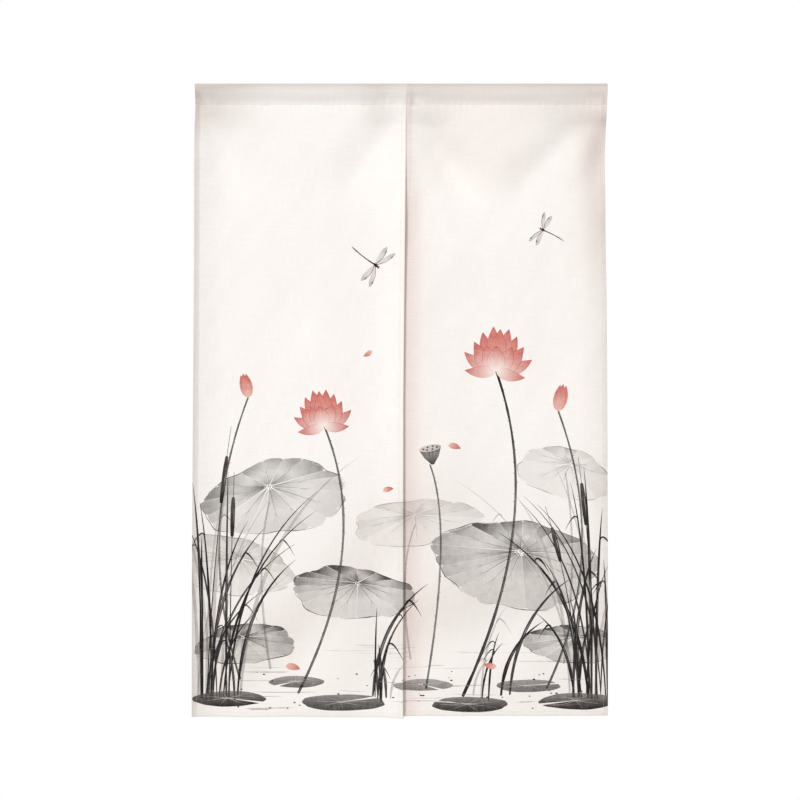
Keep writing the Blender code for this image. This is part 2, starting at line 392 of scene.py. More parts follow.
# The printed pond.
# The cloth is dyed on its outside in the manner of brush and ink: washed lotus leaves, coral
# blossoms, black reeds and dragonflies over thin mist. Each stroke of the brush is an outline, and
# its colour runs from one end of the stroke to the other.
brush = np.random.default_rng(29)
black = (0.018, 0.016, 0.016)
soot = (0.090, 0.080, 0.076)
grey = (0.400, 0.355, 0.335)
pale = (0.730, 0.680, 0.660)
bare = (1.000, 1.000, 1.000)
coral = (0.645, 0.150, 0.130)
blush = (0.870, 0.560, 0.500)
rose = (1.000, 0.900, 0.870)
wine = (0.430, 0.045, 0.045)


class Ink(NamedTuple):
    """A printed shape: its outline as x and down, and colours and strengths from start to end."""
    outline: np.ndarray
    start: np.ndarray
    end: np.ndarray
    colours: tuple
    strengths: tuple


prints = []


def dye(outline, start, end, colours, strengths):
    """Adds a printed shape whose outline runs one way round."""
    x, down = outline.T
    area = (x * np.roll(down, -1) - np.roll(x, -1) * down).sum()
    one_way = outline if area > 0 else outline[::-1]
    prints.append(Ink(one_way, np.array(start), np.array(end), colours, strengths))


def stroke(line, widths, colours=(black, black), strengths=(1.0, 1.0, 1.0), rough=0.08):
    """A stroke of the brush along a line, with its widths from start to end and round tips."""
    way = np.gradient(line, axis=0)
    way /= np.linalg.norm(way, axis=1, keepdims=True)
    side = np.stack((-way[:, 1], way[:, 0]), axis=-1)
    share = np.linspace(0.0, 1.0, len(line))
    half = 0.5 * np.interp(share, np.linspace(0.0, 1.0, len(widths)), widths)
    half *= 1.0 + rough * brush.uniform(-1.0, 1.0, len(line))
    near, far = line - side * half[:, None], line + side * half[:, None]
    tips = []
    for end, turn in ((-1, 1.0), (0, -1.0)):
        for angle in (-0.8, 0.0, 0.8):
            out = math.cos(angle) * way[end] + math.sin(angle) * side[end]
            tips.append(line[end] + half[end] * turn * out)
    dye(np.vstack((near, tips[:3], far[::-1], tips[3:])), line[0], line[-1], colours, strengths)


def turned(vector, angle):
    """A vector in the cloth's plane, turned by an angle."""
    cosine, sine = math.cos(angle), math.sin(angle)
    return np.array((cosine * vector[0] - sine * vector[1], sine * vector[0] + cosine * vector[1]))


rim_bite = 0.05            # depth of the waves in a leaf's rim, as a share of its half width


def lotus_leaf(x, down, half_wide, half_high, tilt, eye, tone, washes=15):
    """A lotus leaf: broad wet washes from its eye to the wavy rim, with bare veins between them,
    a dark line along parts of the rim and thin dark veins."""
    middle, tilt = np.array((x, down)), math.radians(tilt)
    phases = brush.uniform(0.0, math.tau, 4)
    eye_at = middle + turned((eye[0] * half_wide, eye[1] * half_high), tilt)

    def rim(angle, reach=1.0):
        """Point of the rim in a direction."""
        wave = 1.0
        for share, lobes, phase in zip((1.0, 0.6, 0.45, 0.2), (3, 5, 9, 17), phases):
            wave += share * rim_bite * math.sin(lobes * angle + phase)
        flat = turned((half_wide * wave * math.cos(angle), half_high * wave * math.sin(angle)), tilt)
        return eye_at + (middle + flat - eye_at) * reach

    steps = brush.uniform(0.65, 1.35, washes)
    edges = np.concatenate(((0.0,), np.cumsum(steps))) / steps.sum() * math.tau + brush.uniform(0.0, 0.4)
    for first, last in zip(edges[:-1], edges[1:]):
        bare_first, bare_last = brush.uniform(0.0001, 0.0010, 2)
        angles = np.linspace(first, last, 11)
        swell = 1.0 + 0.030 * np.sin(np.linspace(0.0, math.pi, 11)) * brush.uniform(-0.4, 1.3)
        outer = [rim(angle, reach * brush.uniform(0.992, 1.006)) for angle, reach in zip(angles, swell)][1:-1]
        sides = []
        for angle, gap, reaches in ((last, -bare_last, (0.97, 0.78, 0.58, 0.38, 0.20, 0.08)),
                                    (first, bare_first, (0.08, 0.20, 0.38, 0.58, 0.78, 0.97))):
            ray = rim(angle) - eye_at
            aside = np.array((-ray[1], ray[0])) / np.linalg.norm(ray) * gap
            for reach in reaches:
                sides.append(eye_at + ray * reach + aside * brush.uniform(0.6, 1.4) * (1.2 - reach))
        far_side = 0.5 - 0.5 * math.sin((first + last) / 2)
        wet = tone * brush.uniform(0.55, 1.10) * (0.70 + 0.45 * far_side)
        dye(np.array(outer + sides), eye_at, rim((first + last) / 2),
            (black if tone > 0.75 else soot, soot if tone > 0.60 else grey),
            (min(1.0, 1.05 * wet), 0.38 * wet, min(1.0, (0.50 + 0.55 * far_side) * wet)))
    for edge in edges[:-1]:
        if brush.random() < 0.75:
            reach = brush.uniform(0.62, 0.95)
            swerve = edge + brush.uniform(-0.03, 0.03)
            line = bow(rim(edge, 0.05), rim(swerve, 0.5 * reach), rim(edge, reach), 8)
            stroke(line, (0.0013, 0.0010, 0.0004), (black, soot), (0.9 * tone, 0.75 * tone, 0.45 * tone))
            for turn in (-0.09, 0.09):
                fork = bow(rim(edge, 0.66 * reach), rim(edge + 0.6 * turn, 0.82 * reach),
                           rim(edge + turn, reach), 4)
                stroke(fork, (0.0007, 0.0003), (soot, soot), (0.6 * tone, 0.5 * tone, 0.3 * tone))
    angle = brush.uniform(0.0, 1.0)
    while angle < math.tau:
        length = brush.uniform(0.45, 1.30)
        line = np.array([rim(part, 1.012) for part in np.linspace(angle, angle + length, 12)])
        stroke(line, (0.0004, 0.0019, 0.0012, 0.0004), (black, soot), (tone, tone, 0.7 * tone), 0.25)
        angle += length + brush.uniform(0.10, 0.50)
    round_eye = [(0.004 * math.cos(a), 0.0016 * math.sin(a)) for a in (0.0, 1.2, 2.4, 3.6, 4.8)]
    stroke(eye_at + np.array(round_eye), (0.0016, 0.0010), (black, soot), (tone, tone, tone))


def petal(base, lean, length, width, bend, root, veins):
    """A pointed petal: it leans from upright and bends along its length, coral at the tip, with a
    thin darker line around it and fine veins."""
    t = np.linspace(0.0, 1.0, 13)
    angles = math.radians(lean) + math.radians(bend) * (t - 0.35)
    legs = np.stack((np.sin(angles), -np.cos(angles)), axis=-1) * length / 12
    line = np.array(base) + np.concatenate((np.zeros((1, 2)), np.cumsum(legs[1:], axis=0)))
    widths = width * 2.81 * t ** 0.6 * (1.0 - t) ** 0.95
    widths[-1] = 0.0005
    widths[0] = 0.0016
    stroke(line, widths, (root, coral), rough=0.03)
    side = np.stack((np.cos(angles), np.sin(angles)), axis=-1)
    for share in np.linspace(-0.66, 0.66, veins):
        vein = (line + side * widths[:, None] * 0.5 * share)[3:11]
        stroke(vein, (0.0003, 0.0006, 0.0002), (coral, wine), (0.15, 0.45, 0.55))
    for edge in (-0.5, 0.5):
        contour = line + side * widths[:, None] * edge
        stroke(contour[1:], (0.0003, 0.0008, 0.0009, 0.0004), (coral, wine), (0.55, 0.80, 0.95), 0.2)


def blossom(x, down, size, lean):
    """An open lotus blossom: upright petals at the back, stamens, and cupped and drooping ones."""
    base = (x, down)
    for angle, length, width, bend in ((-30, 1.00, 0.38, 24), (30, 0.98, 0.38, -22), (-11, 1.08, 0.40, 8),
                                       (13, 1.06, 0.40, -8), (-50, 0.90, 0.36, 34), (51, 0.90, 0.36, -36),
                                       (0, 1.02, 0.42, 0)):
        petal(base, lean + angle, size * length, size * width, bend, blush, 3)
    for angle in np.linspace(-34.0, 34.0, 12):
        way = turned((0.0, -size), math.radians(lean + angle + brush.uniform(-2.0, 2.0)))
        line = bow(base, np.array(base) + 0.22 * way, np.array(base) + brush.uniform(0.40, 0.52) * way, 4)
        stroke(line, (0.0006, 0.0006, 0.0018), (soot, black), (0.7, 0.8, 1.0))
    for angle, length, width, bend in ((-74, 0.92, 0.34, 40), (76, 0.94, 0.34, -42), (-56, 0.80, 0.40, 38),
                                       (58, 0.80, 0.40, -38), (-32, 0.66, 0.42, 26), (35, 0.68, 0.42, -26),
                                       (-101, 0.78, 0.28, 26), (104, 0.74, 0.28, -26), (-6, 0.60, 0.44, 4)):
        petal(base, lean + angle, size * length, size * width, bend, rose, 4)


def bud(x, down, size, lean):
    """A closed bud on the way to open."""
    for angle, length, width in ((-9, 0.96, 0.34), (10, 0.98, 0.34), (0, 1.0, 0.40)):
        petal((x, down), lean + angle, size * length, size * width, -angle * 1.6, blush, 3)


def stem(start, middle, end, width, tone=1.0):
    """A tall stem with short thorns on both sides."""
    line = bow(start, middle, end, 30)
    stroke(line, (1.25 * width, width, 0.85 * width), (black, black), (tone, 0.92 * tone, tone), 0.14)
    stroke(line[2:-2] + (0.12 * width, 0.0), (0.0003, 0.20 * width, 0.0002), (bare, pale),
           (0.1, 0.40, 0.1), 0.5)
    for place in range(2, 29):
        side = brush.choice((-1.0, 1.0))
        root = line[place] + (side * 0.45 * width, brush.uniform(-0.004, 0.004))
        thorn = bow(root, root + (side * 0.0011, -0.0006), root + (side * 0.0020, -0.0016), 2)
        stroke(thorn, (0.0011, 0.0003), (black, black), (tone, tone, tone))


def seed_pod(x, down, size, lean):
    """A seed pod: a cone with a flat top and dark seeds."""
    lean = math.radians(lean)
    top = [np.array((x, down)) + turned((0.5 * size * math.cos(a), 0.15 * size * math.sin(a)), lean)
           for a in np.linspace(0.0, math.tau, 25)[:-1]]
    foot = np.array((x, down)) + turned((0.0, 0.74 * size), lean)
    side = [top[0], top[0] * 0.45 + foot * 0.55 + turned((0.10 * size, 0.0), lean),
            foot + turned((0.05 * size, 0.0), lean), foot - turned((0.05 * size, 0.0), lean),
            top[12] * 0.45 + foot * 0.55 - turned((0.10 * size, 0.0), lean)]
    dye(np.array(side + top[12:0:-1]), foot, (x, down), (black, soot), (1.0, 0.8, 0.9))
    for share in (0.25, 0.50, 0.75):
        line = np.linspace(top[12] * (1 - share) + top[0] * share, foot, 6)
        stroke(line, (0.0010, 0.0004), (bare, grey), (0.45, 0.30, 0.10), 0.3)
    dye(np.array(top), top[0], top[12], (grey, pale), (0.9, 0.75, 0.9))
    for px, pz in ((-0.30, 0.00), (-0.10, -0.06), (0.13, -0.07), (0.31, 0.00), (-0.14, 0.06), (0.10, 0.06)):
        seed = np.array((x, down)) + turned((px * size, pz * size), lean)
        stroke(np.array((seed - (0.0012, 0.0), seed, seed + (0.0012, 0.0))), (0.0024, 0.0034, 0.0024))


def blade(x, down, height, reach, width, tone, droop):
    """A long blade of grass that arches to one side, and may be snapped near its tip."""
    end = (x + reach, down - height)
    line = bow((x, down), (x + 0.30 * reach, down - 0.60 * height), end, 16)
    tones = (black, black) if tone > 0.7 else (soot, grey)
    stroke(line, (0.55 * width, width, 0.85 * width, 0.55 * width, 0.0004), tones, (tone, tone, tone), 0.10)
    if width > 0.005:
        stroke(line[4:11] + (0.08 * width, 0.0), (0.0002, 0.13 * width, 0.0002), (bare, pale),
               (0.1, 0.45, 0.1), 0.5)
    if droop:
        tip = line[12]
        stroke(bow(tip, tip + (0.35 * droop, -0.004), tip + (droop, 0.85 * abs(droop)), 8),
               (0.45 * width, 0.6 * width, 0.0004), tones, (tone, tone, tone), 0.10)


def cattail(x, down, height, reach):
    """A thin stalk with a dark velvety head."""
    line = bow((x, down), (x + 0.40 * reach, down - 0.55 * height), (x + reach, down - height), 22)
    stroke(line, (0.0026, 0.0018, 0.0008), rough=0.10)
    stroke(line[15:20], (0.0068, 0.0092, 0.0094, 0.0092, 0.0064), (black, soot), rough=0.07)
    stroke(line[16:19] + (0.0022, 0.0), (0.0003, 0.0011, 0.0003), (grey, bare), (0.4, 0.5, 0.2), 0.5)


def ripple(x, down, half_wide, width, tone):
    """A short level stroke on the water."""
    rise = brush.uniform(-0.0016, 0.0016)
    line = bow((x - half_wide, down + rise), (x, down + 0.02 * half_wide), (x + half_wide, down - rise), 12)
    stroke(line, (0.0003, width, 0.6 * width, 0.9 * width, 0.0003), (grey, soot),
           (0.7 * tone, tone, 0.6 * tone), 0.3)


def float_leaf(x, down, half_wide, half_high, tone, notch):
    """A round leaf that lies on the water, cut in to its middle on one side."""
    angles = np.linspace(notch + 0.10, notch + math.tau - 0.10, 60)
    reach = 1.0 + 0.03 * np.sin(4 * angles + notch) + 0.010 * np.sin(11 * angles + 2 * notch)
    reach += 0.003 * brush.uniform(-1.0, 1.0, len(angles))
    outline = np.stack((x + half_wide * reach * np.cos(angles), down + half_high * reach * np.sin(angles)),
                       axis=-1)
    eye = np.array((x - 0.06 * half_wide, down - 0.08 * half_high))
    dye(np.vstack((outline, eye)), (x, down - half_high), (x, down + half_high), (soot, black),
        (0.80 * tone, 0.95 * tone, tone))
    for angle in np.linspace(notch + 0.5, notch + math.tau - 0.5, 7):
        tip = np.array((x + 0.86 * half_wide * math.cos(angle), down + 0.86 * half_high * math.sin(angle)))
        stroke(bow(eye, 0.5 * (eye + tip), tip, 5), (0.0009, 0.0003), (bare, pale), (0.50, 0.42, 0.20))


def dragonfly(x, down, size, lean):
    """A dragonfly in flight: head, chest, long tail and four veined wings."""
    lean, middle = math.radians(lean), np.array((x, down))
    wing_widths = np.array((0.05, 0.50, 0.85, 1.00, 1.00, 0.85, 0.15))
    for angle, length, width in ((-1.18, 0.80, 0.17), (-1.62, 0.74, 0.20),
                                 (1.18, 0.80, 0.17), (1.62, 0.74, 0.20)):
        root = middle + turned((0.0, 0.03 * size * (abs(angle) > 1.4)), lean)
        way = turned((0.0, -length * size), lean + angle)
        side = turned(way, math.copysign(math.pi / 2, angle)) / length
        line = bow(root, root + 0.5 * way - 0.02 * side, root + way, 12)
        stroke(line, wing_widths * width * size, (pale, grey), (0.55, 0.45, 0.75), 0.04)
        ahead = np.interp(np.linspace(0, 1, 13), (0, 0.5, 1), (0.01, 0.47, 0.20))
        front = line - side * ahead[:, None] * width
        stroke(front, (0.0012, 0.0009, 0.0004), (black, black), (0.95, 0.85, 0.70))
        stroke(front[9:11], (0.0020, 0.0020), (black, black), (0.9, 0.9, 0.9))
        for share in (-0.15, 0.18):
            stroke(line[1:12] + side * share * width, (0.0005, 0.0004, 0.0002), (soot, soot), (0.6, 0.5, 0.4))
    tail = bow(middle, middle + turned((0.03 * size, 0.55 * size), lean),
               middle + turned((0.0, 1.05 * size), lean), 14)
    tail_widths = np.array((0.060, 0.045, 0.034, 0.036, 0.042, 0.020))
    stroke(tail, tail_widths * size, rough=0.12)
    chest = np.array([middle + turned((0.0, share * size), lean) for share in (-0.09, -0.02, 0.06)])
    stroke(chest, np.array((0.07, 0.12, 0.07)) * size)
    head = np.array([middle + turned((share * size, -0.14 * size), lean) for share in (-0.03, 0.0, 0.03)])
    stroke(head, np.array((0.05, 0.06, 0.05)) * size, (wine, wine))


# far leaves and stems, faint in the mist
stem((0.335, 1.190), (0.352, 0.980), (0.338, 0.800), 0.0036, 0.40)
stem((-0.268, 1.200), (-0.286, 1.010), (-0.270, 0.860), 0.0040, 0.42)
stem((0.020, 1.180), (0.008, 1.020), (0.030, 0.905), 0.0034, 0.38)
lotus_leaf(0.338, 0.800, 0.098, 0.050, 14, (0.05, -0.45), 0.52)
lotus_leaf(0.030, 0.900, 0.128, 0.046, -6, (0.00, -0.35), 0.44)
lotus_leaf(-0.345, 0.990, 0.120, 0.058, 10, (0.10, -0.30), 0.58)

# middle leaves, the two blossoms and the buds
stem((0.128, 1.255), (0.232, 0.905), (0.196, 0.590), 0.0052)
stem((-0.210, 1.250), (-0.120, 0.960), (-0.158, 0.700), 0.0046, 0.9)
lotus_leaf(-0.258, 0.850, 0.146, 0.074, -9, (-0.06, -0.34), 0.86, 18)
lotus_leaf(0.236, 0.985, 0.166, 0.088, 7, (0.05, -0.30), 0.92, 20)
stem((0.300, 1.240), (0.372, 0.960), (0.322, 0.668), 0.0040, 0.9)
stem((-0.330, 1.220), (-0.372, 0.930), (-0.312, 0.640), 0.0038, 0.9)
blossom(0.196, 0.588, 0.083, 6)
blossom(-0.158, 0.702, 0.070, -8)
bud(0.322, 0.672, 0.056, 12)
bud(-0.312, 0.644, 0.050, -14)
stem((0.052, 1.240), (0.082, 0.960), (0.060, 0.782), 0.0036, 0.85)
seed_pod(0.060, 0.748, 0.046, -10)
lotus_leaf(-0.100, 1.045, 0.124, 0.052, 5, (0.08, -0.42), 1.00, 16)
lotus_leaf(-0.318, 1.150, 0.100, 0.040, -4, (-0.05, -0.40), 1.05, 13)
lotus_leaf(0.350, 1.150, 0.096, 0.038, 3, (0.10, -0.42), 1.05, 13)

# reeds, thick in the two lower corners and thin between them
for base, count, sway in ((-0.372, 24, 1.0), (0.386, 22, -1.0), (-0.020, 8, 1.0), (0.180, 6, 1.0)):
    for number in range(count):
        height = brush.uniform(0.14, 0.50) * (0.50 if count < 10 else 1.0)
        reach = sway * brush.uniform(-0.06, 0.18) * height / 0.30
        droop = brush.choice((0.0, 0.0, 0.032, -0.026))
        blade(base + brush.uniform(-0.045, 0.045), brush.uniform(1.250, 1.268), height, reach,
              brush.uniform(0.0036, 0.0084), brush.choice((0.45, 0.95, 1.0, 1.0)), droop)
for x, down, height, reach in ((-0.398, 1.264, 0.560, 0.050), (-0.352, 1.268, 0.470, 0.010),
                               (0.404, 1.266, 0.500, -0.040), (0.372, 1.268, 0.400, -0.075)):
    cattail(x, down, height, reach)

# water, with floating leaves
for x, down, half_wide, half_high, tone, notch in (
        (-0.352, 1.262, 0.074, 0.016, 1.00, 0.5), (-0.214, 1.228, 0.056, 0.012, 0.85, 2.4),
        (-0.118, 1.270, 0.086, 0.017, 0.95, 5.6), (0.046, 1.234, 0.060, 0.012, 0.75, 0.9),
        (0.142, 1.274, 0.078, 0.016, 1.00, 3.6), (0.262, 1.236, 0.066, 0.013, 0.85, 5.9),
        (0.364, 1.268, 0.080, 0.017, 1.00, 2.8)):
    float_leaf(x, down, half_wide, half_high, tone, notch)
for number in range(46):
    level = brush.uniform(0.0, 1.0)
    ripple(brush.uniform(-0.40, 0.40), 1.150 + 0.138 * level, brush.uniform(0.018, 0.070),
           brush.uniform(0.0010, 0.0028), 0.25 + 0.55 * level)

# specks that the brush has dropped
speck_angles = np.linspace(0.0, math.tau, 12)[:-1]
speck_round = np.stack((1.20 * np.cos(speck_angles), 0.68 * np.sin(speck_angles)), axis=-1)
for number in range(46):
    place = np.array((brush.uniform(-0.41, 0.41), brush.uniform(1.205, 1.285)))
    size = brush.uniform(0.0010, 0.0026)
    speck = place + size * brush.uniform(0.88, 1.12, (len(speck_angles), 1)) * speck_round
    dye(speck, place - (size, 0.0), place + (size, 0.0), (black, black), (1.0, 1.0, 1.0))

# dragonflies and falling petals
dragonfly(-0.052, 0.372, 0.058, 128)
dragonfly(0.292, 0.300, 0.046, -62)
for x, down, lean, size in ((0.098, 0.742, 100, 0.026), (-0.036, 0.836, 70, 0.022),
                            (-0.236, 1.196, 96, 0.030), (0.196, 1.196, -84, 0.026),
                            (-0.060, 0.548, -130, 0.020)):
    petal((x, down), lean, size, 0.45 * size, 30, blush, 2)

mist_top = 0.70
mist_foot = 1.10           # where it thins out again over the water
mist_strength = 0.46


def mist(places):
    """Strength of the thin grey mist over the lower cloth, in soft level bands."""
    x, down = places.T
    drift = 0.045 * np.sin(7.0 * x + 1.0) + 0.030 * np.sin(17.0 * x + 9.0 * down)
    rise = ease((down - mist_top + drift) / 0.42) * (1.0 - 0.55 * ease((down - mist_foot + drift) / 0.15))
    bands = 0.72 + 0.28 * np.sin(26.0 * down + 6.0 * np.sin(4.0 * x + 0.6) + 2.0 * x)
    return mist_strength * rise * bands


# The two cloths, cut and hung.
# Plain weave of slubby yarn, pale and warm, printed on the outside. The cloth is one closed sheet
# with its hems turned in; the cut follows the printed shapes, so that their edges are crisp.
edge_steps = (0.0, 0.0005, 0.0013, 0.0035, 0.0065, 0.0084, 0.0094, 0.0104, 0.0107, 0.0110, 0.0113, 0.0120,
              0.0150)
column_pitch = 0.0064      # columns and rows of the cloth's mesh
drag_zone = 0.400          # depth down to which the rows lie close together, for the drags
drag_pitch = 0.0054
plain_pitch = 0.0092


def column_places(outer, inner):
    """Places across a panel: close together at the turned edges and even between them."""
    facing = math.copysign(1.0, inner - outer)
    steps = np.array(edge_steps) * facing
    count = round((abs(inner - outer) - 2 * edge_steps[-1]) / column_pitch)
    middle = np.linspace(outer + steps[-1], inner - steps[-1], count + 1)[1:-1]
    return np.concatenate((outer + steps, middle, inner - steps[::-1]))


def row_places():
    """Places down the unrolled cloth, from the turned-over end to the hem."""
    tail = seam_down - heading_length - np.array((tail_length, 0.0062, 0.0048, 0.0030, 0.0015, 0.0006))
    back_steps = np.concatenate(((0.0, 0.0006, 0.0016, 0.0035), np.arange(0.006, 0.0312, 0.0042)))
    back = seam_down - heading_length + back_steps
    crown = seam_down - np.linspace(heading_length - front_wall, front_wall, 20)
    front_steps = np.concatenate((np.arange(0.028, 0.006, -0.0035), (0.0045, 0.0028, 0.0016, 0.0008, 0.0)))
    front = seam_down - front_steps
    below = seam_down + np.array((0.0008, 0.0016, 0.0028, 0.0045, 0.0070, 0.0100))
    drags = np.arange(below[-1] + drag_pitch * 0.8, drag_zone, drag_pitch)
    plain = np.arange(drags[-1] + plain_pitch, drop - edge_steps[-1], plain_pitch)
    hem = drop - np.array(edge_steps)[::-1]
    return np.concatenate((tail, back, crown, front, below, drags, plain, hem))


def cloth_grid(panel):
    """Grid of points on the unrolled cloth, as x and down."""
    rows = row_places()
    grid = []
    for row in rows:
        depth = row if row > seam_down else 0.5 * seam_down
        outer, inner = side_edges(panel, depth)
        x = column_places(panel.outer[0][1], panel.inner[0][1])
        start, stop = x[0], x[-1]
        x = outer + (x - start) * (inner - outer) / (stop - start)
        down = seam_down + (row - seam_down) * (hem_drop(panel, x) - seam_down) / (drop - seam_down)
        grid.append(np.stack((x, down if row > seam_down else np.full_like(x, row)), axis=-1))
    grid = np.array(grid)
    return grid if grid[0, 0, 0] < grid[0, -1, 0] else grid[:, ::-1]


def cut_cloth(panel):
    """Triangles of the unrolled cloth, and for each one the printed shapes that cover it."""
    grid = cloth_grid(panel)
    rows, columns = grid.shape[:2]
    ring = [(0, c) for c in range(columns)] + [(r, columns - 1) for r in range(1, rows)]
    ring += [(rows - 1, c) for c in range(columns - 2, -1, -1)] + [(r, 0) for r in range(rows - 2, 0, -1)]
    points = [tuple(point) for point in grid.reshape(-1, 2)]
    outlines = [[row * columns + column for row, column in ring]]
    low, high = grid.reshape(-1, 2).min(0), grid.reshape(-1, 2).max(0)
    used = []
    for number, shape in enumerate(prints):
        if (shape.outline.max(0) < low).any() or (shape.outline.min(0) > high).any():
            continue
        outlines.append(list(range(len(points), len(points) + len(shape.outline))))
        points += [tuple(point) for point in shape.outline]
        used.append(number)
    cut = delaunay_2d_cdt([Vector(point) for point in points], [], outlines, 1, 1e-7, True)
    places = np.array([tuple(point) for point in cut[0]])
    kept = [(face, origins) for face, origins in zip(cut[2], cut[5]) if 0 in origins]
    triangles = np.array([face for face, origins in kept])
    covers = [[used[origin - 1] for origin in origins if origin] for face, origins in kept]
    corner = places[triangles]
    turn = np.cross(corner[:, 1] - corner[:, 0], corner[:, 2] - corner[:, 0])
    triangles[turn < 0] = triangles[turn < 0][:, ::-1]
    in_use = np.unique(triangles)
    renumber = np.full(len(places), -1)
    renumber[in_use] = np.arange(len(in_use))
    return places[in_use], renumber[triangles], covers


def dyed(shape, points):
    """Colour and strength of a printed shape at points of the cloth."""
    way = shape.end - shape.start
    share = np.clip(((points - shape.start) @ way) / (way @ way), 0.0, 1.0)
    first, last = (np.array(colour) for colour in shape.colours)
    return first + (last - first) * share[:, None], np.interp(share, (0.0, 0.5, 1.0), shape.strengths)


def ink_colours(places, triangles, covers):
    """Colour of the print at each triangle's corners, over white: later shapes lie over earlier ones."""
    corners = places[triangles]
    haze = mist(corners.reshape(-1, 2)).reshape(-1, 3, 1)
    colours = 1.0 - haze * (1.0 - np.array(pale))
    covered = {}
    for triangle, numbers in enumerate(covers):
        for number in numbers:
            covered.setdefault(number, []).append(triangle)
    for number in sorted(covered):
        members = np.array(covered[number])
        colour, strength = dyed(prints[number], corners[members].reshape(-1, 2))
        strength = np.clip(strength, 0.0, 1.0).reshape(-1, 3, 1)
        colours[members] = colours[members] * (1.0 - strength) + colour.reshape(-1, 3, 3) * strength
    return colours


show_through = 0.30        # share of the print and of the warm tint that the inside shows

# painted shade of doubled, rolled and creased cloth, where 0 is its plain colour and 1 its shaded colour
rim_shades = {"left": (0.60, 0.25), "right": (0.14, 0.17)}   # outer hems, at the edge and at the thread
heading_shades = {"left": 0.14, "right": 0.20}
heading_fade = 0.016
inner_hem_shade = 0.04
inner_edge_shade = 0.50
inner_edge_half = 0.0011
foot_hem_shade = 0.07
foot_edge_shade = 0.34
foot_edge_half = 0.0022
# painted shade over the crown, whose top faces the light from above
crown_shade = 0.90
crown_middle = 0.0105      # along the cloth, from the front wall's top
crown_half = 0.0125
painted_heading_shade_places = {          # painted shade: middle, lower end, half width, fade, darkness, and its share on the heading
    "left": ((-0.412, 0.052, 0.090, 0.047, 0.64, 0.80), (-0.050, 0.055, 0.033, 0.036, 0.32, 0.65)),
    "right": ((0.0565, 0.055, 0.062, 0.024, 0.26, 0.45), (0.014, 0.080, 0.010, 0.045, 0.20, 0.05),
              (0.352, 0.055, 0.098, 0.040, 0.37, 0.40)),
}
over_seam = 0.014          # above the seam, where the painted shade goes over to its share on the heading
over_fade = 0.012
past_crown = 0.030         # beyond the front wall's top, where the painted shade ends
past_fade = 0.020


def painted_heading_shade(panel, x, down):
    """Painted shade beside the heading's foot, at its ends and by the slit."""
    dark = np.zeros_like(x)
    under = ease((down - seam_down + over_seam) / over_fade)
    for middle, lower_end, half_wide, fade, tone, over in painted_heading_shade_places[panel.side]:
        below = np.maximum(down - lower_end, 0.0)
        bell = np.exp(-((x - middle) / half_wide) ** 2 - (below / fade) ** 2)
        dark += tone * bell * (over + (1.0 - over) * under)
    return dark * ease((down - seam_down + front_wall + past_crown) / past_fade)


def painted_shade_share(panel, x, down):
    """How far the cloth's colour goes to its shaded colour: painted shade on doubled cloth, at its edges,
    over the crown, in the heading's dents and beside the heading's foot.
    """
    to_outer, to_inner, to_foot = edge_distances(panel, x, down)
    outer_hem, inner_hem, foot_hem = hem_shares(panel, x, down)
    at_edge, at_thread = rim_shades[panel.side]
    rim = outer_hem * (at_edge + (at_thread - at_edge) * ease(to_outer / side_hem))
    inner_edge = inner_edge_shade * np.exp(-(to_inner / inner_edge_half) ** 2)
    foot_edge = foot_edge_shade * np.exp(-(to_foot / foot_edge_half) ** 2)
    heading = heading_shades[panel.side] * ease((seam_down - down + 0.001) / heading_fade)
    crown = crown_shade * np.exp(-((down - seam_down + front_wall + crown_middle) / crown_half) ** 2)
    tones = [rim, inner_hem_shade * inner_hem, inner_edge, foot_hem_shade * foot_hem, foot_edge, heading, crown]
    # painted shade in the heading's dents
    for pinch in panel.pinches:
        bell = np.exp(-((x - pinch.x) / pinch.half_x) ** 2 - ((-down - pinch.z) / pinch.half_z) ** 2)
        tones.append(pinch.tone * bell * (down > seam_down - front_wall))
    return np.minimum(np.max(tones, axis=0) + painted_heading_shade(panel, x, down), 1.0)


# faint warm tint of the right cloth, with painted warm shade along its slit and outer edge: pairs of depths
# and of widths or shares there
slit_shade_reach = ((0.10, 0.34), (0.014, 0.045))
slit_shade_share = ((0.05, 0.34), (0.55, 1.00))
edge_shade_share = ((0.05, 0.10, 0.20, 0.36, 0.50), (0.65, 0.95, 0.85, 0.45, 0.10))
edge_shade_reach = 0.060
patch_x = 0.170
patch_foot = 0.160
patch_half = 0.100
patch_fade = 0.050
patch_share = 0.42


def warm_shade_and_tint(panel, x, down):
    """Share of the faint warm tint in the right cloth: painted warm shade, strongest along its edges,
    and a wide warm patch under its heading."""
    if panel.side == "left":
        return np.zeros_like(x)
    to_outer, to_inner = edge_distances(panel, x, down)[:2]
    by_slit = np.interp(down, *slit_shade_share) * np.exp(-(to_inner / np.interp(down, *slit_shade_reach)) ** 2)
    by_edge = np.interp(down, *edge_shade_share) * np.exp(-(to_outer / edge_shade_reach) ** 2)
    below = np.maximum(down - patch_foot, 0.0)
    patch = patch_share * np.exp(-((x - patch_x) / patch_half) ** 2 - (below / patch_fade) ** 2)
    return np.max((by_slit, by_edge, patch), axis=0)


bake_margin = 0.010        # the bake map: its margin, and the size of one face on it
bake_width = 0.470
bake_height = 0.980
bake_inside = 0.510        # how far the inside lies beside the outside
bake_rim = 0.002


